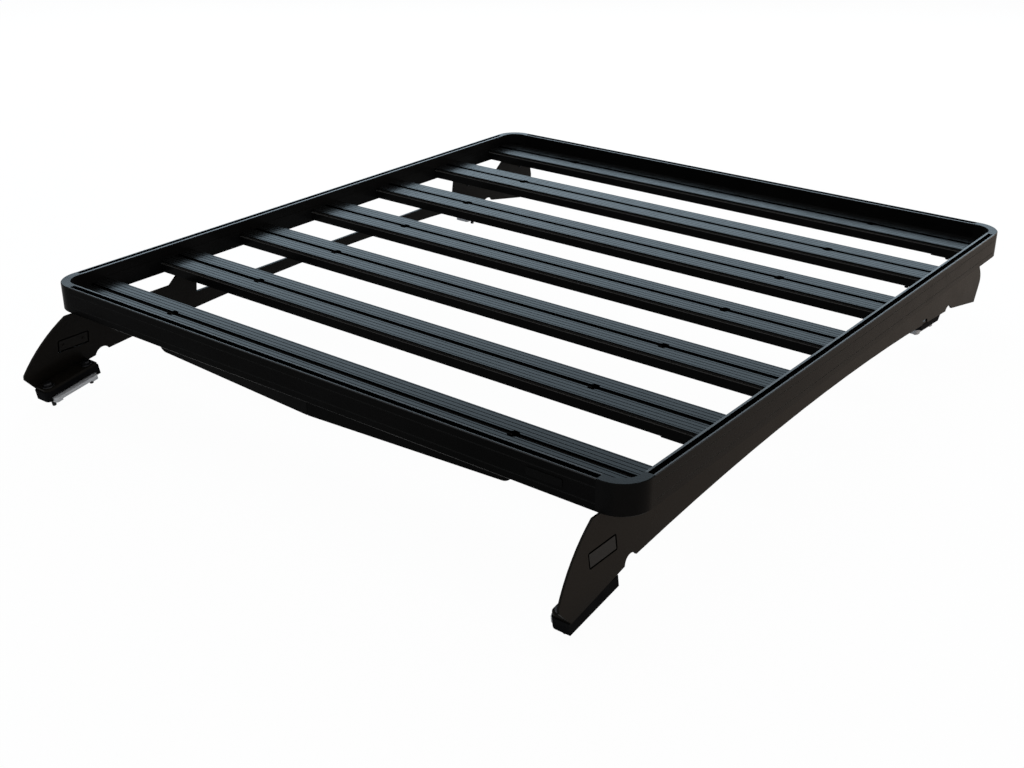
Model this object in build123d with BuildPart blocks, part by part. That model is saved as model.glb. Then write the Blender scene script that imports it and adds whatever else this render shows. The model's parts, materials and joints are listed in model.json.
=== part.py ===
"""Flat platform roof rack: a slatted deck in a rail frame on two splayed foot rails.

Millimetres, +Z up. The front edge, with the wind deflector, faces -Y, and left is -X.
The origin is on the floor, under the middle of the whole rack.
"""
import os
from dataclasses import dataclass
from math import atan2, cos, degrees, radians, sin, sqrt, tan

from build123d import *

# Deck
deck_width = 1255.0
deck_length = 1358.0
rail_height = 50.0
rail_width = 17.0
corner_reach = 57.0
corner_radius = 50.0
pocket_radius = 14.0
pocket_clearance = 1.0
edge_chamfer = 1.2

# Channels for sliding bolt heads, shared by rails and slats
slot_clearance = 0.2
lip_thickness = 3.0
channel_width = 13.0
channel_depth = 7.5
outer_lip = 4.2
wall = 2.0
line_width = 1.2
line_depth = 0.6
outer_lines = (13.5, 38.0)
inner_line = 19.0

# Slats, spaced evenly between the end spaces
slat_count = 7
end_space = 73.0
slat_width = 80.0
slat_height = 23.0
slat_drop = 23.5
rib_start = 9.5
rib_pitch = 9.0
ribs_per_side = 4
rib_groove = 1.6
rib_depth = 0.8
side_groove_top = 3.0
side_groove_height = 3.0
side_groove_depth = 3.0
drop_in_inset = 233.5
drop_in_diameter = 16.0

# Foot rails: points are how far past the deck's end they lie, and how deep below its top
splay = 7.75
plate_inset = 50.5
plate_thickness = 4.0
rail_clearance = 1.5
front_top = 13.0
front_bulge = (65.0, 91.5)
front_reach = 104.0
front_shoulder = 141.0
front_toe = 149.0
front_heel = (82.0, 174.0)
front_notch_front = (-48.0, 152.0)
front_notch_peak = (-65.0, 139.0)
front_notch_rear = (-78.0, 146.5)
rear_top = 0.0
rear_belly = (27.0, 122.0)
rear_tail = (-14.0, 164.0)
tail_front = (-133.0, 141.0)
rear_notch_peak = (-151.0, 131.0)
rear_notch_front = -166.0
tail_round = 25.0
web_top = 64.0
beam_top = 96.0
beam_low = 118.3
beam_low_y = 6.0

# Tabs under the two end slats and their neighbours, from those slats' middles
end_tab_out = 40.0
end_tab_in = 34.0
near_tab_out = 36.0
near_tab_in = 14.0
tab_slope = 16.0
tab_reach = 52.0
tab_bolt_inset = 32.0

# Feet: reaches and insets run inwards from the plate's outer face
flange_thickness = 5.0
foot_clearance = 0.5
front_foot_past = 27.0
front_flange_reach = 35.0
front_flange_length = 112.0
front_pad_length = 116.0
front_bar_length = 95.0
front_bolt_inset = 22.0
front_bolt_spacing = 84.0
rear_foot_past = -237.0
rear_flange_reach = 40.0
rear_flange_length = 94.0
rear_pad_length = 100.0
rear_bar_length = 80.0
rear_bolt_inset = 27.0
pad_thickness = 11.0
pad_inset = 1.0
pad_round = 10.0
pad_rim = 8.5
pad_taper = 9.0
clamp_room = 2.5
bar_gap = 0.5
bar_inset = 9.0
bar_width = 34.0
bar_thickness = 8.9
bar_round = 5.0
bar_lobe = 14.0
bar_relief = 2.5
lug_notch_ahead = 30.0
lug_notch_width = 24.0
lug_notch_height = 8.0
lug_notch_round = 6.0

# Bolts: M8 with washers
bolt_radius = 4.0
hole_clearance = 0.5
tapped_clearance = 0.3
foot_bolt_reach = 36.0
foot_washer_radius = 11.0
washer_radius = 8.5
washer_thickness = 1.6
head_radius = 7.5
head_height = 5.4
nut_height = 6.5
slot_head_gap = 0.4
tab_bolt_tip = 6.0

# Wind deflector: its front edge lies behind the deck's front end
deflector_depth = 90.0
deflector_inset = 232.5
deflector_nose = 25.0
deflector_end = 49.0
deflector_sheet = 3.0
deflector_seam = 2.0
deflector_corner = 20.0
deflector_flange = 14.0
deflector_first_bolt = 110.0
deflector_bolt_inset = 95.0

# Blank name plates
leg_plate_length = 64.0
leg_plate_height = 22.0
leg_plate_past = -1.5
leg_plate_depth = 107.0
leg_plate_round = 3.0
leg_plate_recess = 0.3
leg_groove = 1.2
leg_core = 1.6
leg_seat_gap = 0.3
leg_stud_radius = 2.5
leg_stud_height = 1.8
leg_stud_spacing = 42.0
rail_plate_length = 62.0
rail_plate_height = 13.0
rail_plate_thick = 1.2
rail_plate_round = 3.0
rail_plate_inset = 141.5
rail_plate_depth = 25.5

# Worked out from the sizes above
splay_sin = sin(radians(splay))
splay_cos = cos(radians(splay))
half_width = deck_width / 2
half_length = deck_length / 2
slat_length = deck_width - 2 * rail_width
slat_pitch = (deck_length - 2 * end_space) / (slat_count - 1)
slat_under = slat_drop + slat_height
plate_top_x = half_width - plate_inset
deflector_half = half_width - deflector_inset
end_slat = half_length - end_space
near_slat = end_slat - slat_pitch
slot_width = 2 * bolt_radius + slot_clearance
bolt_hole_radius = bolt_radius + hole_clearance
tapped_hole_radius = bolt_radius + tapped_clearance
slot_head_radius = channel_width / 2 - slot_head_gap
leg_window_length = leg_plate_length + 2 * (leg_groove + leg_seat_gap)
leg_window_height = leg_plate_height + 2 * (leg_groove + leg_seat_gap)


def front_y(past):
    """A place along the deck, from how far past its front end it lies."""
    return -half_length - past


def rear_y(past):
    """A place along the deck, from how far past its rear end it lies."""
    return half_length + past


def heel_depth(past):
    """Depth of the front foot's lower edge, from how far past the deck's front end it lies."""
    run = front_heel[0] - front_notch_front[0]
    fall = front_heel[1] - front_notch_front[1]
    return front_notch_front[1] + fall * (past - front_notch_front[0]) / run


def arch_depth(y):
    """Depth of the long arch's lower edge at a place along the deck."""
    run = beam_low_y - front_y(front_notch_rear[0])
    fall = front_notch_rear[1] - beam_low
    radius = (run * run + fall * fall) / (2 * fall)
    return beam_low + radius - sqrt(radius * radius - (y - beam_low_y) ** 2)


front_foot_y = front_y(front_foot_past)
rear_foot_y = rear_y(rear_foot_past)
front_slope = atan2(front_heel[1] - front_notch_front[1], front_heel[0] - front_notch_front[0])
rear_half = rear_flange_length / 2
rear_rise = arch_depth(rear_foot_y + rear_half) - arch_depth(rear_foot_y - rear_half)
rear_slope = -atan2(rear_rise, rear_flange_length)
flange_drop = plate_thickness * splay_sin + foot_clearance
front_foot_depth = heel_depth(front_foot_past) + flange_drop
rear_foot_depth = arch_depth(rear_foot_y) + flange_drop

# The lowest bolt tip stands on the floor, and that sets the deck's height
front_bolt_reach = front_bolt_spacing / 2 + bolt_radius
tip_drop = front_bolt_reach * sin(front_slope) + foot_bolt_reach * cos(front_slope)
deck_top = front_foot_depth + tip_drop
slat_top = deck_top - slat_drop
slat_bottom = deck_top - slat_under
rail_bottom = deck_top - rail_height


def on_plate(y, depth):
    """A point of the splayed plate, from its place along the deck and depth below the top."""
    return (y, (rail_height - depth) / splay_cos)


def front_point(past, depth):
    """A point of the splayed plate near the deck's front end."""
    return on_plate(front_y(past), depth)


def rear_point(past, depth):
    """A point of the splayed plate near the deck's rear end."""
    return on_plate(rear_y(past), depth)


def plate_outline():
    """The foot rail's outline, from the front leg's top along the tabs and back along the arch."""
    tab_edge = slat_under + plate_thickness / 2
    under_rail = rail_height + rail_clearance
    arch_end_y = rear_y(rear_notch_front)
    arch_end = on_plate(arch_end_y, arch_depth(arch_end_y))
    with BuildLine() as outline:
        Polyline(
            front_point(front_top, under_rail),
            on_plate(-end_slat - end_tab_out, under_rail),
            on_plate(-end_slat - end_tab_out, tab_edge),
            on_plate(-end_slat + end_tab_in, tab_edge),
            on_plate(-end_slat + end_tab_in + tab_slope, web_top),
            on_plate(-near_slat - near_tab_out - tab_slope, web_top),
            on_plate(-near_slat - near_tab_out, tab_edge),
            on_plate(-near_slat + near_tab_in, tab_edge),
            on_plate(-near_slat + near_tab_in, beam_top),
            on_plate(near_slat - near_tab_in, beam_top),
            on_plate(near_slat - near_tab_in, tab_edge),
            on_plate(near_slat + near_tab_out, tab_edge),
            on_plate(near_slat + near_tab_out + tab_slope, web_top),
            on_plate(end_slat - end_tab_in - tab_slope, web_top),
            on_plate(end_slat - end_tab_in, tab_edge),
            on_plate(end_slat + end_tab_out, tab_edge),
            on_plate(end_slat + end_tab_out, under_rail),
            rear_point(rear_top, under_rail),
            rear_point(*rear_belly),
            rear_point(*rear_tail),
            rear_point(*tail_front),
        )
        ThreePointArc(rear_point(*tail_front), rear_point(*rear_notch_peak), arch_end)
        ThreePointArc(arch_end, on_plate(beam_low_y, beam_low), front_point(*front_notch_rear))
        ThreePointArc(
            front_point(*front_notch_rear),
            front_point(*front_notch_peak),
            front_point(*front_notch_front),
        )
        Polyline(
            front_point(*front_notch_front),
            front_point(*front_heel),
            front_point(front_reach, front_toe),
            front_point(front_reach, front_shoulder),
        )
        ThreePointArc(
            front_point(front_reach, front_shoulder),
            front_point(*front_bulge),
            front_point(front_top, under_rail),
        )
    return outline.edges()


# The foot rail's plate, flat, with the deck's middle at its local origin
with BuildSketch() as plate_shape:
    make_face(plate_outline())
    fillet(vertices().sort_by_distance(rear_point(*rear_belly))[0], tail_round)
    with Locations(front_point(leg_plate_past, leg_plate_depth)):
        RectangleRounded(leg_window_length, leg_window_height, leg_plate_round, mode=Mode.SUBTRACT)
    lug_notch_y = rear_foot_y - lug_notch_ahead
    with Locations(on_plate(lug_notch_y, arch_depth(lug_notch_y))):
        RectangleRounded(lug_notch_width, 2 * lug_notch_height, lug_notch_round, mode=Mode.SUBTRACT)

# The foot rails are the longest pieces, so they centre the rack on the origin
plate_box = plate_shape.sketch.bounding_box()
deck_y = -(plate_box.min.X + plate_box.max.X) / 2

os.makedirs("parts", exist_ok=True)


def save(piece, name):
    """Label a finished piece and write it under its node's name."""
    piece.part.label = name
    export_step(piece.part, f"parts/{name}.step")


def twin(piece):
    """The same piece on the other side of the rack."""
    with BuildPart() as other:
        mirror(piece.part, about=Plane.YZ)
    return other


def make_rail(middle, inward, run):
    """A rail with a bolt channel along its top; middle is on its outer top edge."""
    section = Plane(origin=middle, x_dir=inward, z_dir=inward.cross(Vector(0, 0, 1)))
    slot_middle = outer_lip + slot_width / 2
    channel_floor = lip_thickness + channel_depth
    chamber_top = channel_floor + wall
    chamber_height = rail_height - chamber_top - wall
    with BuildPart() as rail:
        with BuildSketch(section):
            with Locations((rail_width / 2, -rail_height / 2)):
                Rectangle(rail_width, rail_height)
            chamfer(vertices().group_by(Axis.X)[0], edge_chamfer)
            with Locations((slot_middle, -lip_thickness / 2)):
                Rectangle(slot_width, lip_thickness, mode=Mode.SUBTRACT)
            with Locations((rail_width / 2, -lip_thickness - channel_depth / 2)):
                Rectangle(channel_width, channel_depth, mode=Mode.SUBTRACT)
            with Locations((rail_width / 2, -chamber_top - chamber_height / 2)):
                Rectangle(rail_width - 2 * wall, chamber_height, mode=Mode.SUBTRACT)
            with Locations(*[(line_depth / 2, -depth) for depth in outer_lines]):
                Rectangle(line_depth, line_width, mode=Mode.SUBTRACT)
            with Locations((rail_width - line_depth / 2, -inner_line)):
                Rectangle(line_depth, line_width, mode=Mode.SUBTRACT)
        extrude(amount=run / 2, both=True)
    return rail


def make_corner(side, end):
    """A plain-topped casting between two rails, cut away below for the end slat."""
    corner_x = side * half_width
    corner_y = deck_y + end * half_length
    inner_reach = corner_reach - rail_width
    inner_radius = corner_radius - rail_width
    inner_x = corner_x - side * (rail_width + inner_reach / 2)
    inner_y = corner_y - end * (rail_width + inner_reach / 2)
    inner_corner = (corner_x - side * rail_width, corner_y - end * rail_width)
    with BuildPart() as corner:
        with BuildSketch(Plane.XY.offset(rail_bottom)):
            with Locations((corner_x - side * corner_reach / 2, corner_y - end * corner_reach / 2)):
                Rectangle(corner_reach, corner_reach)
            fillet(vertices().sort_by_distance((corner_x, corner_y))[0], corner_radius)
        extrude(amount=rail_height)
        outer_edges = edges().filter_by(Plane.XY).filter_by(GeomType.CIRCLE)
        chamfer(outer_edges, edge_chamfer)
        with BuildSketch(Plane.XY.offset(rail_bottom)):
            with Locations((inner_x, inner_y)):
                Rectangle(inner_reach, inner_reach)
            fillet(vertices().sort_by_distance(inner_corner)[0], inner_radius)
        extrude(amount=rail_height, mode=Mode.SUBTRACT)
        with BuildSketch(Plane.XY.offset(rail_bottom)):
            with Locations((inner_x, inner_y)):
                Rectangle(inner_reach, inner_reach)
            fillet(vertices().sort_by_distance(inner_corner)[0], pocket_radius)
        extrude(amount=slat_top + pocket_clearance - rail_bottom, mode=Mode.SUBTRACT)
    return corner


def make_slat(place):
    """A ribbed slat with bolt channels above and below and a hollow on each side."""
    section = Plane(origin=(0, place, slat_top), x_dir=(0, 1, 0), z_dir=(1, 0, 0))
    rib_places = [rib_start + n * rib_pitch for n in range(ribs_per_side)]
    groove_middle = side_groove_top + side_groove_height / 2
    web = channel_width / 2 + wall
    chamber_width = slat_width / 2 - side_groove_depth - wall - web
    chamber_middle = web + chamber_width / 2
    chamber_height = slat_height - 2 * lip_thickness
    with BuildPart() as slat:
        with BuildSketch(section):
            with Locations((0, -slat_height / 2)):
                Rectangle(slat_width, slat_height)
            for side in (-1, 1):
                with Locations(*[(side * place_y, -rib_depth / 2) for place_y in rib_places]):
                    Rectangle(rib_groove, rib_depth, mode=Mode.SUBTRACT)
                with Locations((side * (slat_width - side_groove_depth) / 2, -groove_middle)):
                    Rectangle(side_groove_depth, side_groove_height, mode=Mode.SUBTRACT)
                with Locations((side * chamber_middle, -slat_height / 2)):
                    Rectangle(chamber_width, chamber_height, mode=Mode.SUBTRACT)
            with Locations((0, -lip_thickness / 2), (0, lip_thickness / 2 - slat_height)):
                Rectangle(slot_width, lip_thickness, mode=Mode.SUBTRACT)
            upper_middle = -lip_thickness - channel_depth / 2
            with Locations((0, upper_middle), (0, -slat_height - upper_middle)):
                Rectangle(channel_width, channel_depth, mode=Mode.SUBTRACT)
        extrude(amount=slat_length / 2, both=True)
        with BuildSketch(Plane.XY.offset(slat_top)):
            drop_in_x = slat_length / 2 - drop_in_inset
            with Locations((-drop_in_x, place), (drop_in_x, place)):
                Circle(drop_in_diameter / 2)
        extrude(amount=-lip_thickness, mode=Mode.SUBTRACT)
    return slat


# The plane of the right foot rail's outer face, with its local Y up the splayed plate
plate_plane = Plane(
    origin=(plate_top_x, deck_y, rail_bottom),
    x_dir=(0, 1, 0),
    z_dir=(splay_cos, 0, splay_sin),
)


def plate_x(depth):
    """How far out the plate's outer face stands at a depth below the deck's top."""
    return plate_top_x + (depth - rail_height) * tan(radians(splay))


@dataclass
class Foot:
    """Where a foot stands, and the sizes of the pieces that are clamped under it."""

    y: float
    depth: float
    slope: float
    flange_reach: float
    flange_length: float
    pad_length: float
    bar_length: float
    bolt_inset: float
    bolt_ys: tuple

    def plane(self, height=0):
        """The flange's underside, moved up by a height; local X runs across the rack."""
        underside = Plane(
            origin=(0, deck_y + self.y, deck_top - self.depth),
            x_dir=(1, 0, 0),
            z_dir=(0, -sin(self.slope), cos(self.slope)),
        )
        return underside.offset(height)

    def side(self, x):
        """The plane across the rack at x, with local X along the foot and local Y up."""
        underside = self.plane()
        return Plane(origin=underside.from_local_coords((x, 0, 0)), x_dir=underside.y_dir, z_dir=(1, 0, 0))

    def edge_x(self, y=0):
        """How far out the plate's outer face stands at a place along the foot."""
        return plate_x(self.depth - y * sin(self.slope))

    def bolt_places(self):
        return [(self.edge_x() - self.bolt_inset, y) for y in self.bolt_ys]


front_foot = Foot(
    front_foot_y,
    front_foot_depth,
    front_slope,
    front_flange_reach,
    front_flange_length,
    front_pad_length,
    front_bar_length,
    front_bolt_inset,
    (-front_bolt_spacing / 2, front_bolt_spacing / 2),
)
rear_foot = Foot(
    rear_foot_y,
    rear_foot_depth,
    rear_slope,
    rear_flange_reach,
    rear_flange_length,
    rear_pad_length,
    rear_bar_length,
    rear_bolt_inset,
    (0,),
)
slat_places = [deck_y - end_slat + n * slat_pitch for n in range(slat_count)]
tab_slats = (0, 1, slat_count - 2, slat_count - 1)
tab_bolt_places = [(plate_top_x - tab_bolt_inset, slat_places[n]) for n in tab_slats]


def make_foot_rail():
    """A splayed plate with tabs under the slats and a flange at each foot."""
    tab_x = plate_top_x - plate_thickness / 2 - tab_reach / 2
    tabs = ((end_slat, end_tab_out, end_tab_in), (near_slat, near_tab_out, near_tab_in))
    with BuildPart() as rail:
        with BuildSketch(plate_plane):
            add(plate_shape.sketch)
        extrude(amount=-plate_thickness)
        for slat, tab_out, tab_in in tabs:
            tab_middle = slat + (tab_out - tab_in) / 2
            with BuildSketch(Plane.XY.offset(slat_bottom - plate_thickness)):
                with Locations((tab_x, deck_y - tab_middle), (tab_x, deck_y + tab_middle)):
                    Rectangle(tab_reach, tab_out + tab_in)
            extrude(amount=plate_thickness)
        for foot in (front_foot, rear_foot):
            half = foot.flange_length / 2
            inner_x = foot.edge_x() - foot.flange_reach
            front_x = foot.edge_x(-half) - plate_thickness / 2
            rear_x = foot.edge_x(half) - plate_thickness / 2
            with BuildSketch(foot.plane()):
                with BuildLine():
                    Polyline(
                        (inner_x, -half),
                        (front_x, -half),
                        (rear_x, half),
                        (inner_x, half),
                        close=True,
                    )
                make_face()
                fillet(vertices().sort_by_distance((inner_x, -half))[0], pad_round)
            extrude(amount=flange_thickness)
            with BuildSketch(foot.plane()):
                with Locations(*foot.bolt_places()):
                    Circle(bolt_hole_radius)
            extrude(amount=flange_thickness, mode=Mode.SUBTRACT)
        with BuildSketch(Plane.XY.offset(slat_bottom)):
            with Locations(*tab_bolt_places):
                Circle(bolt_hole_radius)
        extrude(amount=-plate_thickness, mode=Mode.SUBTRACT)
    return rail


def make_pad(foot, taper, rim):
    """A rubber pad under a foot flange; a rim may reach down round the clamp bar's outer side and ends."""
    half = foot.pad_length / 2
    inner_x = foot.edge_x() - foot.flange_reach
    pad_width = foot.flange_reach - pad_inset
    depth = pad_thickness + rim
    with BuildPart() as pad:
        with BuildSketch(foot.side(inner_x)):
            with BuildLine():
                Polyline(
                    (-half, 0),
                    (taper - half, -depth),
                    (half - taper, -depth),
                    (half, 0),
                    close=True,
                )
            make_face()
        extrude(amount=pad_width)
        corner = foot.plane().from_local_coords((inner_x, -half, -depth / 2))
        fillet(edges().sort_by_distance(corner)[0], pad_round)
        if rim:
            recess_width = foot.flange_reach - bar_inset + bar_gap
            with BuildSketch(foot.plane(-pad_thickness)):
                with Locations((inner_x + recess_width / 2, 0)):
                    Rectangle(recess_width, foot.bar_length + 2 * bar_gap)
            extrude(amount=-rim, mode=Mode.SUBTRACT)
        with BuildSketch(foot.plane()):
            with Locations(*foot.bolt_places()):
                Circle(bolt_hole_radius)
        extrude(amount=-pad_thickness, mode=Mode.SUBTRACT)
    return pad


def make_bar(foot):
    """A bright clamp bar, with room for a gutter's lip above it, relieved underneath between its ends."""
    outer_x = foot.edge_x() - bar_inset
    relief_length = foot.bar_length - 2 * bar_lobe
    bar_top = -pad_thickness - clamp_room
    with BuildPart() as bar:
        with BuildSketch(foot.plane(bar_top)):
            with Locations((outer_x - bar_width / 2, 0)):
                RectangleRounded(bar_width, foot.bar_length, bar_round)
            with Locations(*foot.bolt_places()):
                Circle(tapped_hole_radius, mode=Mode.SUBTRACT)
        extrude(amount=-bar_thickness)
        with BuildSketch(foot.plane(bar_top - bar_thickness)):
            with Locations((outer_x - bar_width / 2, 0)):
                Rectangle(bar_width, relief_length)
        extrude(amount=bar_relief, mode=Mode.SUBTRACT)
    return bar


def stack_bolts(seat, places, steps):
    """Bolts built up along the seat's normal from (start, height, radius, sides) steps."""
    with BuildPart() as bolts:
        for start, height, radius, sides in steps:
            with BuildSketch(seat.offset(start)):
                with Locations(*places):
                    if sides:
                        RegularPolygon(radius, sides)
                    else:
                        Circle(radius)
            extrude(amount=height)
    return bolts


def make_foot_bolts(foot):
    """Bolts through flange and pad into the clamp bar, each with a wide washer and a free tip."""
    head_start = flange_thickness + washer_thickness
    steps = (
        (-foot_bolt_reach, foot_bolt_reach + flange_thickness, bolt_radius, 0),
        (flange_thickness, washer_thickness, foot_washer_radius, 0),
        (head_start, head_height, head_radius, 6),
    )
    return stack_bolts(foot.plane(), foot.bolt_places(), steps)


def hanging_bolt_steps(sheet):
    """A bolt that hangs from a slat's lower channel through a sheet, with a nut below."""
    washer_start = -sheet - washer_thickness
    nut_start = washer_start - nut_height
    shank_end = nut_start - tab_bolt_tip
    return (
        (shank_end, lip_thickness - shank_end, bolt_radius, 0),
        (lip_thickness, head_height, slot_head_radius, 6),
        (washer_start, washer_thickness, washer_radius, 0),
        (nut_start, nut_height, head_radius, 6),
    )


deflector_bolt_xs = (deflector_first_bolt, deflector_half - deflector_bolt_inset)


def make_deflector():
    """The right half of the wind deflector: a swept blade and a flange under the front slat."""
    nose_x = deflector_seam / 2
    nose_y = deck_y + front_y(-deflector_nose)
    end_y = deck_y + front_y(-deflector_end)
    back_y = slat_places[0] + deflector_flange
    with BuildPart() as blade:
        with BuildSketch(Plane.XY.offset(deck_top - deflector_depth)):
            with BuildLine():
                Polyline(
                    (nose_x, nose_y),
                    (deflector_half, end_y),
                    (deflector_half, end_y + deflector_sheet),
                    (nose_x, nose_y + deflector_sheet),
                    close=True,
                )
            make_face()
        extrude(amount=deflector_depth - slat_under - deflector_sheet)
        low_end = edges().filter_by(GeomType.LINE).group_by(Axis.Z)[0].sort_by(Axis.X)[-1]
        fillet(low_end, deflector_corner)
        with BuildSketch(Plane.XY.offset(slat_bottom - deflector_sheet)):
            with BuildLine():
                Polyline(
                    (nose_x, nose_y),
                    (deflector_half, end_y),
                    (deflector_half, back_y),
                    (nose_x, back_y),
                    close=True,
                )
            make_face()
            with Locations(*[(x, slat_places[0]) for x in deflector_bolt_xs]):
                Circle(bolt_hole_radius, mode=Mode.SUBTRACT)
        extrude(amount=deflector_sheet)
    return blade


def make_leg_plate():
    """A blank plate set in the front leg's window, with a groove round it and studs behind."""
    core_length = leg_window_length - 2 * leg_seat_gap
    core_height = leg_window_height - 2 * leg_seat_gap
    place_y, place_up = front_point(leg_plate_past, leg_plate_depth)
    stud_places = [(place_y + end * leg_stud_spacing / 2, place_up) for end in (-1, 1)]
    with BuildPart() as plate:
        with BuildSketch(plate_plane.offset(-leg_plate_recess)):
            with Locations((place_y, place_up)):
                RectangleRounded(leg_plate_length, leg_plate_height, leg_plate_round)
        extrude(amount=2 * leg_plate_recess - plate_thickness)
        with BuildSketch(plate_plane.offset((leg_core - plate_thickness) / 2)):
            with Locations((place_y, place_up)):
                RectangleRounded(core_length, core_height, leg_plate_round)
        extrude(amount=-leg_core)
        with BuildSketch(plate_plane.offset(leg_plate_recess - plate_thickness)):
            with Locations(*stud_places):
                Circle(leg_stud_radius)
        extrude(amount=-leg_stud_height)
    return plate


def make_rail_plate():
    """A blank plate on the front rail's face, near its right end."""
    face = Plane(
        origin=(half_width - rail_plate_inset, deck_y - half_length, deck_top - rail_plate_depth),
        x_dir=(1, 0, 0),
        z_dir=(0, -1, 0),
    )
    with BuildPart() as plate:
        with BuildSketch(face):
            RectangleRounded(rail_plate_length, rail_plate_height, rail_plate_round)
        extrude(amount=rail_plate_thick)
    return plate


# Frame
long_run = deck_length - 2 * corner_reach
cross_run = deck_width - 2 * corner_reach
rails = {
    "rail_front": ((0, deck_y - half_length, deck_top), Vector(0, 1, 0), cross_run),
    "rail_rear": ((0, deck_y + half_length, deck_top), Vector(0, -1, 0), cross_run),
    "rail_left": ((-half_width, deck_y, deck_top), Vector(1, 0, 0), long_run),
    "rail_right": ((half_width, deck_y, deck_top), Vector(-1, 0, 0), long_run),
}
for name, (middle, inward, run) in rails.items():
    save(make_rail(middle, inward, run), name)
for end_name, end in (("front", -1), ("rear", 1)):
    for side_name, side in (("left", -1), ("right", 1)):
        save(make_corner(side, end), f"corner_{end_name}_{side_name}")

# Deck slats, numbered from the front
for n, place in enumerate(slat_places):
    save(make_slat(place), f"slat_{n + 1}")

# Foot rails and feet, made on the right and mirrored to the left
pairs = {
    "foot_rail": make_foot_rail(),
    "foot_pad_front": make_pad(front_foot, 0, pad_rim),
    "foot_pad_rear": make_pad(rear_foot, pad_taper, 0),
    "clamp_bar_front": make_bar(front_foot),
    "clamp_bar_rear": make_bar(rear_foot),
    "foot_bolts_front": make_foot_bolts(front_foot),
    "foot_bolts_rear": make_foot_bolts(rear_foot),
    "tab_bolts": stack_bolts(
        Plane.XY.offset(slat_bottom), tab_bolt_places, hanging_bolt_steps(plate_thickness)
    ),
    "deflector": make_deflector(),
    "leg_plate": make_leg_plate(),
}
for name, piece in pairs.items():
    save(piece, f"{name}_right")
    save(twin(piece), f"{name}_left")

# Fixings and plate that lie across the middle
deflector_bolt_places = [(side * x, slat_places[0]) for side in (-1, 1) for x in deflector_bolt_xs]
deflector_bolts = stack_bolts(
    Plane.XY.offset(slat_bottom), deflector_bolt_places, hanging_bolt_steps(deflector_sheet)
)
save(deflector_bolts, "deflector_bolts")
save(make_rail_plate(), "rail_plate")

print("deck top", round(deck_top, 6), "deck middle y", round(deck_y, 6))
for name, foot in (("front", front_foot), ("rear", rear_foot)):
    print(name, "foot at", foot.y, "depth", round(foot.depth, 6), "slope", round(degrees(foot.slope), 6))
    print(name, "plate edge x", round(foot.edge_x(), 3), "bolts", foot.bolt_places())
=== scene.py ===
import json
from math import ceil, cos, pi, radians, sin, tan

import bmesh
import bpy
from mathutils import Matrix, Vector


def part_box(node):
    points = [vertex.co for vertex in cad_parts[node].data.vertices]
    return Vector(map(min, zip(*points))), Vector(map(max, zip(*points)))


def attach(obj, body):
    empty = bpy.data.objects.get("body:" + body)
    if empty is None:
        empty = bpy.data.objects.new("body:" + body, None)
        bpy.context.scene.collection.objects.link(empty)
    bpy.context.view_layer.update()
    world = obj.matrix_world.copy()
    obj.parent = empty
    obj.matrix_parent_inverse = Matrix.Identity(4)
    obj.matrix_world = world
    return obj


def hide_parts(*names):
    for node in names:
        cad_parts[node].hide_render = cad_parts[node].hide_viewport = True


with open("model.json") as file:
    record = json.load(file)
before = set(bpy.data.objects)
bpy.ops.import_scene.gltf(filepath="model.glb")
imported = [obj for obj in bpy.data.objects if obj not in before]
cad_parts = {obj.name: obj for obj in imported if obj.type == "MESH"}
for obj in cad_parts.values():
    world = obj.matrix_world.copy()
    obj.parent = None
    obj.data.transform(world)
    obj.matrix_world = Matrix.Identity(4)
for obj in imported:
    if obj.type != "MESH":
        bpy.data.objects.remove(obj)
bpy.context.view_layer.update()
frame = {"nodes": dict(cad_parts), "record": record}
mounts = {row["name"]: row for row in frame["record"]["mounts"]}

# Places taken from the frame; all lengths in this script are in metres
deck_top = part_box("rail_front")[1].z
deck_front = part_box("rail_front")[0].y
deck_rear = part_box("rail_rear")[1].y
deck_middle = Vector((0, (deck_front + deck_rear) / 2, deck_top))
slat_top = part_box("slat_1")[1].z
slat_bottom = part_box("slat_1")[0].z
first_slot = mounts["slat_channel_1"]["pos_m"][1]
slot_pitch = mounts["slat_channel_2"]["pos_m"][1] - first_slot

# Camera, solved from the photograph
CAMERA_FROM_DECK = Vector((1.44408, -1.98097, 0.86748))
CAMERA_PITCH = radians(64.983)
CAMERA_TURN = radians(37.884)
CAMERA_LENS = 47.745
CAMERA_RANGE = 50
SENSOR_WIDTH = 36.0

# The room: the floor's size and colour, how much of it shows as backdrop instead, and the world's
# strength as a light and as a backdrop
WHITE = (1, 1, 1)
FLOOR_SIZE = 24
FLOOR_COLOUR = (0.95, 0.95, 0.95)
BACKDROP_SHARE = 0.97
WORLD_LIGHT = 0.4
WORLD_BACKDROP = 1.0

# The floor in reflections: dim in front and below, warm beyond the rack's right side
FRONT_FLOOR = (0.5, 0.5, 0.5)
WARM_FLOOR = (1.0, 0.85, 0.73)
WARM_FLOOR_START = (0.62, 0.68)

# Coats, each from its darkest to its palest colour
# Black for painted shade at slot edges and round the leg plates
SHADE_BLACK = (0, 0, 0)
DEEP_BLACK = ((0.002, 0.002, 0.002), (0.004, 0.004, 0.004))
SOFT_BLACK = ((0.003, 0.003, 0.003), (0.006, 0.006, 0.006))
WARM_BLACK = ((0.005, 0.004, 0.003), (0.008, 0.007, 0.006))
RAIL_PLATE_BLACK = ((0.003, 0.003, 0.003), (0.005, 0.005, 0.005))
LEG_PLATE_BACK = ((0.007, 0.006, 0.005), (0.01, 0.009, 0.008))
LEG_PLATE_FACE = ((0.02, 0.0195, 0.019), (0.026, 0.0255, 0.025))
RUBBER_BLACK = ((0.003, 0.003, 0.0035), (0.006, 0.006, 0.0065))

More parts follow.
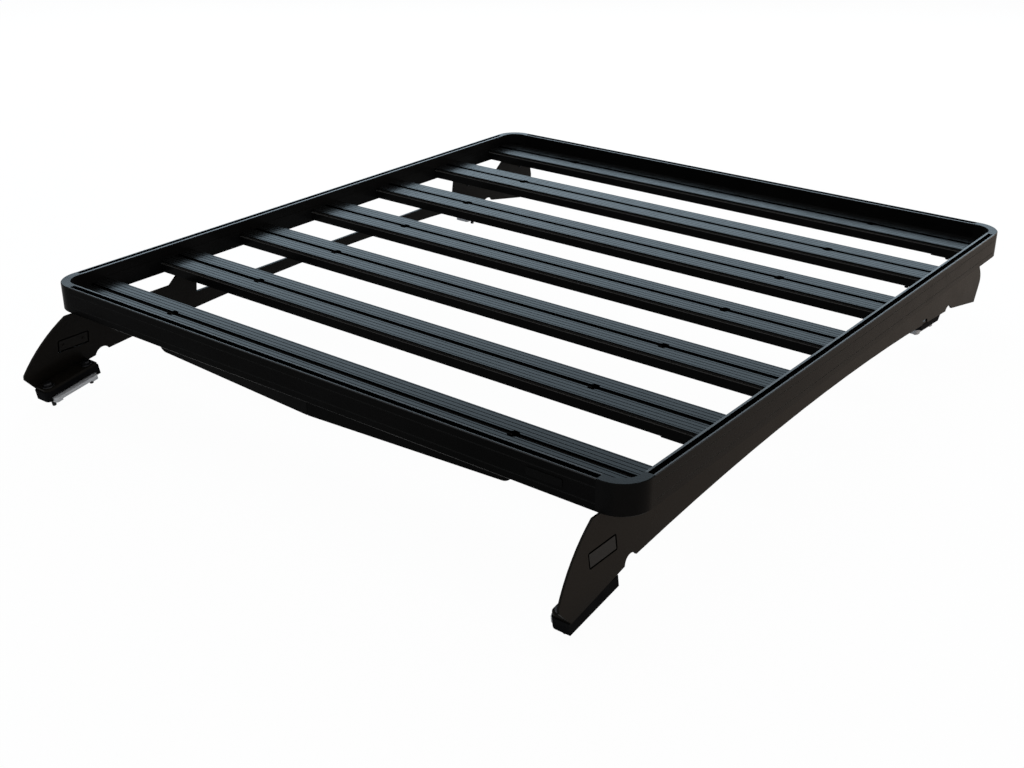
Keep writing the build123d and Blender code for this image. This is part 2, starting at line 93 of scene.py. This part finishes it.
# Bare metals: colours, the darkest share of a colour, and how the brush marks are stretched
BRIGHT_BAR = (0.55, 0.56, 0.58)
# A darker copy of the bright bar for the rear bars: painted shade
SHADED_BAR = (0.3, 0.31, 0.33)
BLACK_ZINC = (0.035, 0.035, 0.038)
BRUSH_SHADE = 0.8
BAR_BRUSH = (6, 1, 6)
NO_BRUSH = (1, 1, 1)

# Gloss: the index of refraction where nothing is mirrored, and figures of the plates and pads
NO_MIRROR_IOR = 1.0
LEG_PLATE_IOR = 1.12
LEG_PLATE_ROUGHNESS = (0.32, 0.4)
RUBBER_IOR = 1.06
RUBBER_ROUGHNESS = (0.6, 0.75)

# How far the roughness of a finish goes up and down with its noise
SHEEN_CHANGE = (-0.04, 0.03)
GRAIN_CHANGE = (-0.03, 0.03)
BRUSH_CHANGE = (-0.06, 0.08)

# Noise in the finishes, as scale and detail, and the mottling's share of a coat's tone
COAT_MOTTLE = (9, 4)
COAT_SHEEN = (30, 3)
COAT_GRAIN = (1400, 2)
RUBBER_MOTTLE = (40, 3)
RUBBER_GRAIN = (700, 3)
BRUSH_MARKS = (260, 3)
MOTTLE_SHARE = 0.6

# The part of a noise's range that is used, and the whole range of a mask
NOISE_SPAN = (0.3, 0.7)
MASK_SPAN = (0, 1)

# Relief of the finishes, as depth and strength
COAT_RELIEF = (0.00004, 0.25)
RUBBER_RELIEF = (0.00008, 0.4)
METAL_RELIEF = (0.00003, 0.3)

# Where the sockets for colours are in a mix node, whose socket names repeat
MIX_FACTOR = 0
MIX_FIRST = 6
MIX_SECOND = 7
MIX_RESULT = 2

# The deck's lips are painted paler within this distance of its top, a painted highlight
LIP_HIGHLIGHT_BAND = 0.0012
LIP_HIGHLIGHT_COLOUR = (0.03, 0.03, 0.031)

# Painted highlights in grooves, standing in for light caught by their edges: depth below the top, half
# their width and colour, and for the rails how far a groove reaches in from the outer face
SLAT_LINE_DEPTH = 0.0058
SLAT_LINE_HALF_WIDTH = 0.0012
SLAT_GROOVE_HIGHLIGHT = (0.06, 0.058, 0.056)
RAIL_LINE_DEPTHS = (0.0135, 0.038)
RAIL_LINE_HALF_WIDTH = 0.0009
END_GROOVE_HIGHLIGHT = (0.014, 0.014, 0.014)
SIDE_GROOVE_HIGHLIGHT = (0.034, 0.032, 0.03)
GROOVE_REACH = 0.003

# Half the width of a slot with its edges painted black as shade, and a pitch so long that a rail has one
# slot
SLOT_SHADE_EDGE = 0.0054
SIDE_SLOT_SHADE_EDGE = 0.0048
LONE_SLOT_PITCH = 24

# The slats' drop-in holes: how far from the middle, and their radius with the black rim painted round them
# as shade
DROP_IN_X = 0.377
DROP_IN_SHADE_EDGE = 0.0098

# The plates in the legs: the legs' splay, a plate's black border of painted shade and how thick a face is
# taken to be
LEG_SPLAY = radians(7.75)
LEG_PLATE_SHADE_BORDER = 0.0025
FACE_REACH = 0.001

# How sharp edges of the CAD nodes are softened, and up to which angle new pieces look smooth
EDGE_WIDTH = 0.0004
EDGE_SEGMENTS = 2
EDGE_ANGLE = radians(40)
SMOOTH_ANGLE = radians(35)

# M8 fasteners
BOLT_RADIUS = 0.004
THREAD_PITCH = 0.00125
THREAD_DEPTH = 0.00055
THREAD_ROWS_PER_TURN = 6
THREAD_END_CREST = 0.2
TIP_CHAMFER = 0.0008
HEAD_RADIUS = 0.0075
HEAD_HEIGHT = 0.0054
NUT_HEIGHT = 0.0065
CROWN_SHARE = 0.95
CHAMFER_ANGLE = pi / 6
WASHER_THICKNESS = 0.0016
WASHER_RADIUS = 0.0085
WASHER_CLEARANCE = 0.0003
FOOT_WASHER_RADIUS = 0.011
CIRCLE_POINTS = 48

# How the foot bolts lie in the foot: a seat is the lowest face of the pad or of its rim
PAD_THICKNESS = 0.011
PAD_RIM = 0.0085
SEAT_DEPTHS = {"front": PAD_THICKNESS + PAD_RIM, "rear": PAD_THICKNESS}
FLANGE_THICKNESS = 0.005
FOOT_BOLT_REACH = 0.036
FRONT_BOLT_SPACING = 0.084

# How the other bolts hang from the slats' lower channels, through a tab or the deflector
LIP_THICKNESS = 0.003
SLOT_HEAD_RADIUS = 0.0061
HANGING_TIP = 0.006
TAB_THICKNESS = 0.004
TAB_SLATS = (1, 2, 6, 7)
DEFLECTOR_SHEET = 0.003
DEFLECTOR_FIRST_BOLT = 0.11


def make_camera():
    camera = bpy.data.cameras.new("camera")
    camera.lens = CAMERA_LENS
    camera.sensor_width = SENSOR_WIDTH
    camera.clip_end = CAMERA_RANGE
    holder = bpy.data.objects.new("camera", camera)
    holder.location = deck_middle + CAMERA_FROM_DECK
    holder.rotation_euler = (CAMERA_PITCH, 0, CAMERA_TURN)
    bpy.context.scene.collection.objects.link(holder)
    bpy.context.scene.camera = holder


class Nodes:
    """A short way to add nodes to the tree of a material or a world."""

    def __init__(self, owner):
        owner.use_nodes = True
        self.owner = owner
        self.tree = owner.node_tree

    def add(self, kind, **settings):
        node = self.tree.nodes.new(kind)
        for key, value in settings.items():
            setattr(node, key, value)
        return node

    def feed(self, socket, value):
        """Link a socket to another one, or set it; a colour is given as red, green and blue."""
        if isinstance(value, bpy.types.NodeSocket):
            self.tree.links.new(value, socket)
        elif socket.type == "RGBA":
            socket.default_value = (*value, 1)
        else:
            socket.default_value = value

    def math(self, operation, *values):
        node = self.add("ShaderNodeMath", operation=operation)
        for socket, value in zip(node.inputs, values):
            self.feed(socket, value)
        return node.outputs[0]

    def along(self, place, axis):
        """The coordinate of a place along one axis."""
        split = self.add("ShaderNodeSeparateXYZ")
        self.feed(split.inputs[0], place)
        return split.outputs[axis]

    def spread(self, value, low, high, span=NOISE_SPAN):
        """A value that runs from low to high while the given one runs through its span."""
        node = self.add("ShaderNodeMapRange")
        self.feed(node.inputs["Value"], value)
        self.feed(node.inputs["From Min"], span[0])
        self.feed(node.inputs["From Max"], span[1])
        self.feed(node.inputs["To Min"], low)
        self.feed(node.inputs["To Max"], high)
        return node.outputs["Result"]

    def blend(self, factor, first, second):
        """A colour between two colours."""
        node = self.add("ShaderNodeMix", data_type="RGBA")
        self.feed(node.inputs[MIX_FACTOR], factor)
        self.feed(node.inputs[MIX_FIRST], first)
        self.feed(node.inputs[MIX_SECOND], second)
        return node.outputs[MIX_RESULT]


class Finish(Nodes):
    """A new material, with patterns that follow the place in the frame."""

    def __init__(self, name):
        super().__init__(bpy.data.materials.new(name))
        self.shader = self.tree.nodes["Principled BSDF"]
        self.place = self.add("ShaderNodeTexCoord").outputs["Object"]

    def paint(self, socket, value):
        self.feed(self.shader.inputs[socket], value)

    def bump(self, height, depth, strength):
        node = self.add("ShaderNodeBump")
        self.feed(node.inputs["Height"], height)
        self.feed(node.inputs["Distance"], depth)
        self.feed(node.inputs["Strength"], strength)
        self.paint("Normal", node.outputs["Normal"])

    def noise(self, scale, detail, stretch=NO_BRUSH):
        mapping = self.add("ShaderNodeMapping")
        self.feed(mapping.inputs["Vector"], self.place)
        self.feed(mapping.inputs["Scale"], stretch)
        texture = self.add("ShaderNodeTexNoise")
        self.feed(texture.inputs["Vector"], mapping.outputs["Vector"])
        self.feed(texture.inputs["Scale"], scale)
        self.feed(texture.inputs["Detail"], detail)
        return texture.outputs["Fac"]

    def near(self, axis, middle, reach):
        """1 within reach of a middle along one axis, 0 elsewhere."""
        return self.math("COMPARE", self.along(self.place, axis), middle, reach)

    def slot_shade_mask(self, axis, middle, pitch, edge, has_holes):
        """1 in and just beside a slot and its drop-in holes, or a row of such slots, 0 elsewhere: where
        shade is painted.
        """
        from_first = self.math("ADD", self.along(self.place, axis), -middle)
        from_slot = self.math("PINGPONG", from_first, pitch / 2)
        in_slot = self.math("LESS_THAN", from_slot, edge)
        if not has_holes:
            return in_slot
        from_middle = self.math("ABSOLUTE", self.along(self.place, "X"))
        from_hole = self.add("ShaderNodeCombineXYZ")
        self.feed(from_hole.inputs["X"], self.math("ADD", from_middle, -DROP_IN_X))
        self.feed(from_hole.inputs["Y"], from_slot)
        radius = self.add("ShaderNodeVectorMath", operation="LENGTH")
        self.feed(radius.inputs[0], from_hole.outputs[0])
        in_hole = self.math("LESS_THAN", radius.outputs["Value"], DROP_IN_SHADE_EDGE)
        return self.math("MAXIMUM", in_slot, in_hole)

    def on_splayed_face(self, level):
        """1 on a splayed face of either side, where |x| + z tan(splay) is at the given level."""
        from_middle = self.math("ABSOLUTE", self.along(self.place, "X"))
        lean = self.math("MULTIPLY", self.along(self.place, "Z"), tan(LEG_SPLAY))
        return self.math("COMPARE", self.math("ADD", from_middle, lean), level, FACE_REACH)


def varied(middle, change):
    """The lowest and highest value of a figure that varies round a middle."""
    return middle + change[0], middle + change[1]


def powder_coat(name, colours, roughness, ior, groove_highlights=None, lip_ior=None, slot=None):
    """Satin black powder coat: fine grain, soft mottling and small changes of gloss.

    Painted highlights: grooves at the heights in groove_highlights are paler, and the deck's lips
    are paler as well as glossier. Painted shade: a slot's edges, as if rounded, are black and mirror
    nothing.
    """
    coat = Finish(name)
    grain = coat.noise(*COAT_GRAIN)
    mottle_tone = coat.spread(coat.noise(*COAT_MOTTLE), 0, MOTTLE_SHARE)
    grain_tone = coat.spread(grain, 0, 1 - MOTTLE_SHARE)
    colour = coat.blend(coat.math("ADD", mottle_tone, grain_tone), *colours)
    reflection = ior
    # Painted highlight: the deck's lips take a paler colour and a glossier index of refraction
    if lip_ior:
        lip_highlight = coat.near("Z", deck_top, LIP_HIGHLIGHT_BAND)
        colour = coat.blend(lip_highlight, colour, LIP_HIGHLIGHT_COLOUR)
        reflection = coat.spread(lip_highlight, reflection, lip_ior, MASK_SPAN)
    # Painted highlights: paler bands in the grooves
    if groove_highlights:
        for height in groove_highlights["heights"]:
            groove_highlight = coat.near("Z", height, groove_highlights["half_width"])
            if "face" in groove_highlights:
                groove_highlight = coat.math("MULTIPLY", groove_highlight, coat.near(*groove_highlights["face"], GROOVE_REACH))
            colour = coat.blend(groove_highlight, colour, groove_highlights["colour"])
    # Painted shade: a slot and a strip along its edges are black and mirror nothing
    if slot:
        painted_slot_shade = coat.slot_shade_mask(**slot)
        colour = coat.blend(painted_slot_shade, colour, SHADE_BLACK)
        reflection = coat.spread(painted_slot_shade, reflection, NO_MIRROR_IOR, MASK_SPAN)
    sheen = coat.spread(coat.noise(*COAT_SHEEN), *varied(roughness, SHEEN_CHANGE))
    coat.paint("Base Color", colour)
    coat.paint("Roughness", coat.math("ADD", sheen, coat.spread(grain, *GRAIN_CHANGE)))
    coat.paint("IOR", reflection)
    coat.bump(grain, *COAT_RELIEF)
    return coat.owner


def leg_plate_coat(name):
    """Matt blank plate in a leg: a paler outer face, and a black border of painted shade round both faces.
    """
    low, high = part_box("leg_plate_right")
    middle = (low + high) / 2
    half = (high - low) / 2
    coat = Finish(name)
    grain = coat.noise(*COAT_GRAIN)
    tone = coat.spread(grain, 0, 1)
    back = coat.blend(tone, *LEG_PLATE_BACK)
    front = coat.blend(tone, *LEG_PLATE_FACE)
    is_front = coat.on_splayed_face(high.x + low.z * tan(LEG_SPLAY))
    # Painted shade: a black border, mirroring nothing, round the plate's faces
    inside_shade_border = coat.math(
        "MULTIPLY",
        coat.near("Y", middle.y, half.y - LEG_PLATE_SHADE_BORDER),
        coat.near("Z", middle.z, half.z - LEG_PLATE_SHADE_BORDER),
    )
    coat.paint("Base Color", coat.blend(inside_shade_border, SHADE_BLACK, coat.blend(is_front, back, front)))
    coat.paint("Roughness", coat.spread(grain, *LEG_PLATE_ROUGHNESS))
    coat.paint("IOR", coat.spread(inside_shade_border, NO_MIRROR_IOR, LEG_PLATE_IOR, MASK_SPAN))
    coat.bump(grain, *COAT_RELIEF)
    return coat.owner


def rubber(name):
    coat = Finish(name)
    grain = coat.noise(*RUBBER_GRAIN)
    tone = coat.spread(coat.noise(*RUBBER_MOTTLE), 0, 1)
    coat.paint("Base Color", coat.blend(tone, *RUBBER_BLACK))
    coat.paint("Roughness", coat.spread(grain, *RUBBER_ROUGHNESS))
    coat.paint("IOR", RUBBER_IOR)
    coat.bump(grain, *RUBBER_RELIEF)
    return coat.owner


def bare_metal(name, colour, roughness, brush, metallic):
    metal = Finish(name)
    marks = metal.noise(*BRUSH_MARKS, brush)
    shade = tuple(BRUSH_SHADE * channel for channel in colour)
    metal.paint("Base Color", metal.blend(metal.spread(marks, 0, 1), shade, colour))
    metal.paint("Roughness", metal.spread(marks, *varied(roughness, BRUSH_CHANGE)))
    metal.paint("Metallic", metallic)
    metal.bump(marks, *METAL_RELIEF)
    return metal.owner


# Painted highlight along the groove in the slats' sides
slat_groove_highlights = {
    "heights": (slat_top - SLAT_LINE_DEPTH,),
    "half_width": SLAT_LINE_HALF_WIDTH,
    "colour": SLAT_GROOVE_HIGHLIGHT,
}
# Painted shade in the slats' slots and drop-in holes, and along their edges
slat_slot_shade = {
    "axis": "Y",
    "middle": first_slot,
    "pitch": slot_pitch,
    "edge": SLOT_SHADE_EDGE,
    "has_holes": True,
}
rail_faces = {
    "rail_front": ("Y", deck_front),
    "rail_rear": ("Y", deck_rear),
    "rail_left": ("X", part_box("rail_left")[0].x),
    "rail_right": ("X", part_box("rail_right")[1].x),
}


def rail_coat(node):
    """The coat of one rail, with painted highlights in the grooves of its outer face."""
    axis = rail_faces[node][0]
    channel = Vector(mounts[node.replace("rail_", "rail_channel_")]["pos_m"])
    groove_highlights = {
        "heights": [deck_top - depth for depth in RAIL_LINE_DEPTHS],
        "half_width": RAIL_LINE_HALF_WIDTH,
        "face": rail_faces[node],
    }
    slot = {"axis": axis, "pitch": LONE_SLOT_PITCH, "has_holes": False}
    # Lit and shaded copies of one coat: the end rails are darker and mirror less, painted shade, and the
    # side rails paler and glossier, painted light
    if axis == "Y":
        groove_highlights["colour"] = END_GROOVE_HIGHLIGHT
        slot.update(middle=channel.y, edge=SLOT_SHADE_EDGE)
        return powder_coat(
            node, DEEP_BLACK, roughness=0.26, ior=1.075, groove_highlights=groove_highlights, lip_ior=1.085, slot=slot
        )
    groove_highlights["colour"] = SIDE_GROOVE_HIGHLIGHT
    slot.update(middle=channel.x, edge=SIDE_SLOT_SHADE_EDGE)
    return powder_coat(
        node, SOFT_BLACK, roughness=0.26, ior=1.08, groove_highlights=groove_highlights, lip_ior=1.11, slot=slot
    )


# The finish of each material slot, and of the nodes that differ from their slot
finishes = {
    "corner_coat": powder_coat("corner_coat", SOFT_BLACK, roughness=0.28, ior=1.08),
    "slat_coat": powder_coat(
        "slat_coat", DEEP_BLACK, roughness=0.22, ior=1.085, groove_highlights=slat_groove_highlights, slot=slat_slot_shade
    ),
    "foot_coat": powder_coat("foot_coat", WARM_BLACK, roughness=0.3, ior=1.12),
    "deflector_coat": powder_coat("deflector_coat", DEEP_BLACK, roughness=0.3, ior=1.085),
    "pad_rubber": rubber("pad_rubber"),
    "clamp_bright": bare_metal("clamp_bright", BRIGHT_BAR, roughness=0.5, brush=BAR_BRUSH, metallic=0.5),
    "bolt_steel": bare_metal("bolt_steel", BLACK_ZINC, roughness=0.34, brush=NO_BRUSH, metallic=1.0),
    "blank_plate": leg_plate_coat("blank_plate"),
}
# The rear clamp bars: the bright bar's metal in a darker colour, painted shade
rear_bar_shaded_finish = bare_metal("clamp_shaded", SHADED_BAR, roughness=0.5, brush=BAR_BRUSH, metallic=0.5)
special_finishes = {
    **{node: rail_coat(node) for node in rail_faces},
    "rail_plate": powder_coat("rail_plate_coat", RAIL_PLATE_BLACK, roughness=0.34, ior=1.08),
    "clamp_bar_rear_left": rear_bar_shaded_finish,
    "clamp_bar_rear_right": rear_bar_shaded_finish,
}


def finish_nodes():
    """Give every CAD node its finish and soften its sharp edges."""
    slots = {row["node"]: row["material_slot"] for row in frame["record"]["subparts"]}
    for name, node in frame["nodes"].items():
        finish = special_finishes[name] if name in special_finishes else finishes[slots[name]]
        node.data.materials.clear()
        node.data.materials.append(finish)
        softener = node.modifiers.new("soft_edges", "BEVEL")
        softener.width = EDGE_WIDTH
        softener.segments = EDGE_SEGMENTS
        softener.limit_method = "ANGLE"
        softener.angle_limit = EDGE_ANGLE


def add_band(mesh, low, high):
    """Join two rings of corners, of equal count, with faces."""
    for n in range(len(low)):
        after = (n + 1) % len(low)
        mesh.faces.new((low[n], low[after], high[after], high[n]))


def add_rings(mesh, rings, close_ends=True):
    """Join rings of points, of equal count, into a skin."""
    rows = [[mesh.verts.new(point) for point in ring] for ring in rings]
    for low, high in zip(rows, rows[1:]):
        add_band(mesh, low, high)
    if close_ends:
        mesh.faces.new(rows[0][::-1])
        mesh.faces.new(rows[-1])
    return rows


def circle(radius, z):
    turns = [2 * pi * n / CIRCLE_POINTS for n in range(CIRCLE_POINTS)]
    return [Vector((radius * cos(turn), radius * sin(turn), z)) for turn in turns]


def hexagon(apothem, height_at):
    """Points round a hexagon; height_at gives each point's height from its distance to the axis."""
    points = []
    for n in range(CIRCLE_POINTS):
        turn = 2 * pi * n / CIRCLE_POINTS
        off_middle = (turn + pi / 6) % (pi / 3) - pi / 6
        radius = apothem / cos(off_middle)
        points.append(Vector((radius * cos(turn), radius * sin(turn), height_at(radius))))
    return points


def add_hex(mesh, bottom, height, radius, both_ends):
    """A hexagon head or nut with the usual 30 degree chamfer on its top, or on both ends."""
    apothem = radius * cos(pi / 6)
    crown = CROWN_SHARE * apothem
    top = bottom + height

    def fall(off_axis):
        return (off_axis - crown) * tan(CHAMFER_ANGLE)

    rings = [hexagon(apothem, lambda off_axis: top - fall(off_axis)), circle(crown, top)]
    if both_ends:
        rings = [circle(crown, bottom), hexagon(apothem, lambda off_axis: bottom + fall(off_axis))] + rings
    else:
        rings = [hexagon(apothem, lambda off_axis: bottom)] + rings
    add_rings(mesh, rings)


def add_shank(mesh, tip, thread_end, top):
    """A shank with a chamfered tip and a helical thread up to thread_end, then plain up to top."""
    rows = ceil((thread_end - tip) / THREAD_PITCH * THREAD_ROWS_PER_TURN)
    rings = [circle(BOLT_RADIUS - THREAD_DEPTH - TIP_CHAMFER / 2, tip)]
    for row in range(1, rows + 1):
        z = tip + (thread_end - tip) * row / rows
        end_fade = (thread_end - z) / THREAD_PITCH + THREAD_END_CREST
        fade = min(1.0, (z - tip) / TIP_CHAMFER, end_fade)
        ring = circle(BOLT_RADIUS, z)
        for n, point in enumerate(ring):
            phase = (z / THREAD_PITCH - n / CIRCLE_POINTS) % 1
            crest = 1 - abs(2 * phase - 1)
            radius = BOLT_RADIUS - THREAD_DEPTH * (1 - crest * fade)
            point.x *= radius / BOLT_RADIUS
            point.y *= radius / BOLT_RADIUS
        rings.append(ring)
    rings.append(circle(BOLT_RADIUS, thread_end + THREAD_PITCH / 2))
    rings.append(circle(BOLT_RADIUS, top))
    add_rings(mesh, rings)


def add_washer(mesh, bottom, radius):
    """A flat washer with rounded rims."""
    soft = WASHER_THICKNESS / 4
    hole = BOLT_RADIUS + WASHER_CLEARANCE
    top = bottom + WASHER_THICKNESS
    profile = (
        (hole, bottom), (radius - soft, bottom), (radius, bottom + soft),
        (radius, top - soft), (radius - soft, top), (hole, top),
    )
    rows = add_rings(mesh, [circle(r, z) for r, z in profile], close_ends=False)
    add_band(mesh, rows[-1], rows[0])


def make_piece(name, slot, build, places):
    """One object made of a small mesh repeated at each place."""
    mesh = bmesh.new()
    for place in places:
        single = bmesh.new()
        build(single)
        single.transform(place)
        bmesh.ops.recalc_face_normals(single, faces=single.faces)
        carrier = bpy.data.meshes.new("carrier")
        single.to_mesh(carrier)
        single.free()
        mesh.from_mesh(carrier)
        bpy.data.meshes.remove(carrier)
    data = bpy.data.meshes.new(name)
    mesh.to_mesh(data)
    mesh.free()
    data.shade_smooth()
    data.set_sharp_from_angle(angle=SMOOTH_ANGLE)
    piece = bpy.data.objects.new(name, data)
    bpy.context.scene.collection.objects.link(piece)
    data.materials.append(finishes[slot])
    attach(piece, "root")
    return piece


def make_foot_bolts(end, side):
    """Threaded bolts with washers in place of a foot's plain ones."""
    node = f"foot_bolts_{end}_{side}"
    seat = mounts[f"gutter_seat_{end}_{side}"]
    up = -Vector(seat["axis"])
    low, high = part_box(node)
    across = Vector((1, 0, 0))
    along = up.cross(across)
    flange = Vector(seat["pos_m"]) + up * SEAT_DEPTHS[end]
    flange.x = (low.x + high.x) / 2
    shifts = (-FRONT_BOLT_SPACING / 2, FRONT_BOLT_SPACING / 2) if end == "front" else (0,)
    turn = Matrix((across, along, up)).transposed().to_4x4()
    places = [Matrix.Translation(flange + along * shift) @ turn for shift in shifts]
    head_start = FLANGE_THICKNESS + WASHER_THICKNESS

    def bolt(mesh):
        add_shank(mesh, -FOOT_BOLT_REACH, -PAD_THICKNESS, head_start)
        add_washer(mesh, FLANGE_THICKNESS, FOOT_WASHER_RADIUS)
        add_hex(mesh, head_start, HEAD_HEIGHT, HEAD_RADIUS, both_ends=False)

    piece = make_piece(f"threaded_bolts_{end}_{side}", "bolt_steel", bolt, places)
    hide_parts(node)


def make_hanging_bolts(node, spots, sheet):
    """Threaded bolts with washers and nuts in place of plain ones that hang from the slats."""
    places = [Matrix.Translation((x, y, slat_bottom)) for x, y in spots]
    washer_start = -sheet - WASHER_THICKNESS
    nut_start = washer_start - NUT_HEIGHT

    def bolt(mesh):
        add_shank(mesh, nut_start - HANGING_TIP, -sheet, LIP_THICKNESS)
        add_hex(mesh, LIP_THICKNESS, HEAD_HEIGHT, SLOT_HEAD_RADIUS, both_ends=False)
        add_washer(mesh, washer_start, WASHER_RADIUS)
        add_hex(mesh, nut_start, NUT_HEIGHT, HEAD_RADIUS, both_ends=True)

    piece = make_piece(f"threaded_{node}", "bolt_steel", bolt, places)
    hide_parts(node)


def middle_y(node):
    low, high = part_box(node)
    return (low.y + high.y) / 2


def make_tab_bolts(side):
    low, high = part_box(f"tab_bolts_{side}")
    spots = [((low.x + high.x) / 2, middle_y(f"slat_{n}")) for n in TAB_SLATS]
    make_hanging_bolts(f"tab_bolts_{side}", spots, TAB_THICKNESS)


def make_deflector_bolts():
    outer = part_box("deflector_bolts")[1].x - WASHER_RADIUS
    inner = DEFLECTOR_FIRST_BOLT
    spots = [(x, middle_y("deflector_bolts")) for x in (-outer, -inner, inner, outer)]
    make_hanging_bolts("deflector_bolts", spots, DEFLECTOR_SHEET)


def backdrop_mask(nodes):
    """1 for camera, glossy and transmission rays, which see the backdrop, 0 for others."""
    path = nodes.add("ShaderNodeLightPath")
    mask = path.outputs["Is Camera Ray"]
    for name in ("Is Glossy Ray", "Is Transmission Ray"):
        mask = nodes.math("MAXIMUM", mask, path.outputs[name])
    return mask


def make_floor():
    """A pale floor that shows white and keeps a soft shadow."""
    bpy.ops.mesh.primitive_plane_add(size=FLOOR_SIZE)
    ground = bpy.context.object
    ground.name = "floor"
    nodes = Nodes(bpy.data.materials.new("floor"))
    nodes.tree.nodes.clear()
    diffuse = nodes.add("ShaderNodeBsdfDiffuse")
    nodes.feed(diffuse.inputs["Color"], FLOOR_COLOUR)
    place = nodes.add("ShaderNodeNewGeometry").outputs["Position"]
    is_warm = nodes.spread(nodes.along(place, "X"), 0, 1, WARM_FLOOR_START)
    mirrored = nodes.blend(is_warm, FRONT_FLOOR, WARM_FLOOR)
    is_camera = nodes.add("ShaderNodeLightPath").outputs["Is Camera Ray"]
    backdrop = nodes.add("ShaderNodeEmission")
    nodes.feed(backdrop.inputs["Color"], nodes.blend(is_camera, mirrored, WHITE))
    mix = nodes.add("ShaderNodeMixShader")
    nodes.feed(mix.inputs[0], nodes.math("MULTIPLY", backdrop_mask(nodes), BACKDROP_SHARE))
    nodes.feed(mix.inputs[1], diffuse.outputs[0])
    nodes.feed(mix.inputs[2], backdrop.outputs[0])
    output = nodes.add("ShaderNodeOutputMaterial")
    nodes.feed(output.inputs["Surface"], mix.outputs[0])
    ground.data.materials.append(nodes.owner)


def make_world():
    """White to the camera and in reflections, a soft grey light otherwise."""
    world = bpy.data.worlds.new("studio")
    bpy.context.scene.world = world
    nodes = Nodes(world)
    background = nodes.tree.nodes["Background"]
    strength = nodes.spread(backdrop_mask(nodes), WORLD_LIGHT, WORLD_BACKDROP, MASK_SPAN)
    nodes.feed(background.inputs["Color"], WHITE)
    nodes.feed(background.inputs["Strength"], strength)


def make_lamp(name, place, target, size, power, colour):
    lamp = bpy.data.lights.new(name, "AREA")
    lamp.shape = "RECTANGLE"
    lamp.size, lamp.size_y = size
    lamp.energy = power
    lamp.color = colour
    holder = bpy.data.objects.new(name, lamp)
    holder.location = place
    holder.rotation_euler = (Vector(target) - Vector(place)).to_track_quat("-Z", "Y").to_euler()
    bpy.context.scene.collection.objects.link(holder)


make_camera()
finish_nodes()
for foot_end in ("front", "rear"):
    for foot_side in ("left", "right"):
        make_foot_bolts(foot_end, foot_side)
make_tab_bolts("left")
make_tab_bolts("right")
make_deflector_bolts()
make_floor()
make_world()
make_lamp(
    "rear_softbox",
    place=(-2.0, 2.85, 1.7),
    target=(0, 0, 0.2),
    size=(5.0, 2.2),
    power=142,
    colour=(0.6, 0.83, 1.0),
)
make_lamp(
    "top_softbox",
    place=(-0.3, 0.3, 3.2),
    target=(0, 0, 0.1),
    size=(3.0, 3.0),
    power=45,
    colour=(1.0, 1.0, 1.0),
)
make_lamp(
    "right_softbox",
    place=(1.9, 3.0, 0.6),
    target=(0.6, 0, 0.15),
    size=(2.4, 1.0),
    power=30,
    colour=(1.0, 0.85, 0.7),
)

bpy.context.scene.view_settings.view_transform = "Standard"
